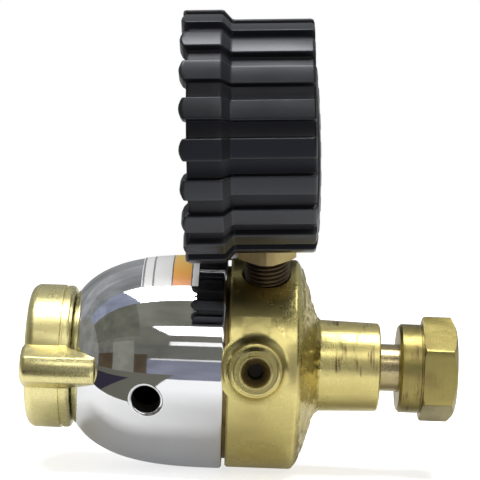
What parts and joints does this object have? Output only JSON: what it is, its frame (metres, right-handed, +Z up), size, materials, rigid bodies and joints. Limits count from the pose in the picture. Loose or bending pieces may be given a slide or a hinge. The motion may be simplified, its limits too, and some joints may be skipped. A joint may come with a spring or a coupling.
{
  "type": "gas cylinder regulator",
  "caption": "Single-stage gas cylinder regulator: brass body, chromed bell bonnet, T-bar knob, inlet nut, outlet fitting and a pair of gauges in ribbed rubber boots.",
  "frame": {"origin": "centre of the inlet nut's mouth, on the main axis", "axes": "+X along the main axis towards the cylinder valve, +Z up between the two gauges, outlet towards -Y"},
  "size_m": [0.1315, 0.153, 0.1367],
  "materials": {
    "body_brass": "forged brass, buffed, with fine scratches",
    "knob_brass": "cast brass, polished, worn on its high edges",
    "inlet_brass": "turned brass, slightly browner, with wrench marks",
    "gauge_brass": "turned brass, lightly tarnished",
    "movement_brass": "stamped brass",
    "chrome_bell": "bright chrome plate on brass, mirror polished",
    "spring_steel": "oiled spring wire",
    "turned_steel": "turned steel",
    "small_steel": "small turned steel pieces",
    "bezel_steel": "polished steel ring",
    "boot_rubber": "moulded black rubber, satin",
    "diaphragm_rubber": "reinforced rubber sheet",
    "case_paint": "black painted steel",
    "dial_white": "white enamel with black print",
    "pointer_black": "matt black paint",
    "lens_clear": "clear polycarbonate",
    "copper_washer": "annealed copper",
    "seat_polymer": "turned polymer",
    "filter_bronze": "sintered bronze",
    "tube_bronze": "drawn phosphor bronze"
  },
  "bodies": {
    "regulator": {"body": "body_brass", "bonnet": "chrome_bell", "bonnet_bushing": "body_brass", "slip_ring": "body_brass", "diaphragm": "diaphragm_rubber", "nozzle": "body_brass", "nozzle_washer": "copper_washer", "poppet_spring": "spring_steel", "adjusting_spring": "spring_steel", "inlet_nipple": "inlet_brass", "inlet_filter": "filter_bronze", "filter_clip": "spring_steel", "outlet_fitting": "body_brass", "near_gauge_boot": "boot_rubber", "near_gauge_case": "case_paint", "near_gauge_bezel": "bezel_steel", "near_gauge_lens": "lens_clear", "near_gauge_dial": "dial_white", "near_gauge_dial_screws": "small_steel", "near_gauge_movement": "movement_brass", "near_gauge_bourdon_tube": "tube_bronze", "near_gauge_socket": "gauge_brass", "far_gauge_boot": "boot_rubber", "far_gauge_case": "case_paint", "far_gauge_bezel": "bezel_steel", "far_gauge_lens": "lens_clear", "far_gauge_dial": "dial_white", "far_gauge_dial_screws": "small_steel", "far_gauge_movement": "movement_brass", "far_gauge_bourdon_tube": "tube_bronze", "far_gauge_socket": "gauge_brass"},
    "spring_follower": {"spring_button": "turned_steel"},
    "knob": {"knob": "knob_brass", "adjusting_screw": "turned_steel", "knob_pin": "turned_steel"},
    "inlet_nut": {"inlet_nut": "inlet_brass"},
    "diaphragm_stack": {"diaphragm_plate": "turned_steel", "thrust_button": "turned_steel"},
    "poppet": {"poppet": "turned_steel", "valve_seat": "seat_polymer"},
    "near_pointer": {"near_gauge_pointer": "pointer_black", "near_gauge_pinion": "movement_brass"},
    "near_sector": {"near_gauge_sector": "movement_brass"},
    "near_link": {"near_gauge_link": "small_steel"},
    "far_pointer": {"far_gauge_pointer": "pointer_black", "far_gauge_pinion": "movement_brass"},
    "far_sector": {"far_gauge_sector": "movement_brass"},
    "far_link": {"far_gauge_link": "small_steel"}
  },
  "joints": [
    {"name": "knob_turn", "type": "hinge", "parent": "spring_follower", "child": "knob", "pos_m": [-0.1085, 0, 0], "axis": [1, 0, 0], "range_deg": [-1800, 0]},
    {"name": "screw_advance", "type": "slide", "parent": "regulator", "child": "spring_follower", "axis": [1, 0, 0], "range_m": [-0.0075, 0], "deforming": ["adjusting_spring"]},
    {"name": "nut_spin", "type": "hinge", "parent": "regulator", "child": "inlet_nut", "pos_m": [-0.01, 0, 0], "axis": [1, 0, 0], "continuous": true},
    {"name": "diaphragm_lift", "type": "slide", "parent": "regulator", "child": "diaphragm_stack", "axis": [1, 0, 0], "range_m": [0, 0.0008], "stiffness_N_per_m": 1500, "deforming": ["diaphragm", "adjusting_spring"]},
    {"name": "valve_lift", "type": "slide", "parent": "regulator", "child": "poppet", "axis": [1, 0, 0], "range_m": [0, 0.0008], "stiffness_N_per_m": 600, "deforming": ["poppet_spring"]},
    {"name": "near_sector_swing", "type": "hinge", "parent": "regulator", "child": "near_sector", "pos_m": [-0.06825, -0.03181, 0.0551], "axis": [0.9986, -0.0262, 0.0453], "range_deg": [-54, 0], "stiffness_Nm_per_rad": 0.0005, "deforming": ["near_gauge_bourdon_tube"]},
    {"name": "near_pointer_turn", "type": "hinge", "parent": "regulator", "child": "near_pointer", "pos_m": [-0.072, -0.03894, 0.06745], "axis": [0.9986, -0.0262, 0.0453], "range_deg": [0, 270]},
    {"name": "near_link_turn", "type": "hinge", "parent": "near_sector", "child": "near_link", "pos_m": [-0.06602, -0.02767, 0.05247], "axis": [0.9986, -0.0262, 0.0453], "range_deg": [0, 54]},
    {"name": "far_sector_swing", "type": "hinge", "parent": "regulator", "child": "far_sector", "pos_m": [-0.06599, 0.03284, 0.05516], "axis": [0.9924, -0.1143, 0.0458], "range_deg": [-54, 0], "stiffness_Nm_per_rad": 0.0005, "deforming": ["far_gauge_bourdon_tube"]},
    {"name": "far_pointer_turn", "type": "hinge", "parent": "regulator", "child": "far_pointer", "pos_m": [-0.06872, 0.04037, 0.06754], "axis": [0.9924, -0.1143, 0.0458], "range_deg": [0, 270]},
    {"name": "far_link_turn", "type": "hinge", "parent": "far_sector", "child": "far_link", "pos_m": [-0.06381, 0.03234, 0.05026], "axis": [0.9924, -0.1143, 0.0458], "range_deg": [0, 54]}
  ],
  "couplings": [
    {"joint": "screw_advance", "follows": "knob_turn", "m_per_rad": 0.00023873},
    {"joint": "valve_lift", "follows": "diaphragm_lift", "ratio": 1},
    {"joint": "near_pointer_turn", "follows": "near_sector_swing", "ratio": -5},
    {"joint": "near_link_turn", "follows": "near_sector_swing", "ratio": -1},
    {"joint": "far_pointer_turn", "follows": "far_sector_swing", "ratio": -5},
    {"joint": "far_link_turn", "follows": "far_sector_swing", "ratio": -1}
  ]
}
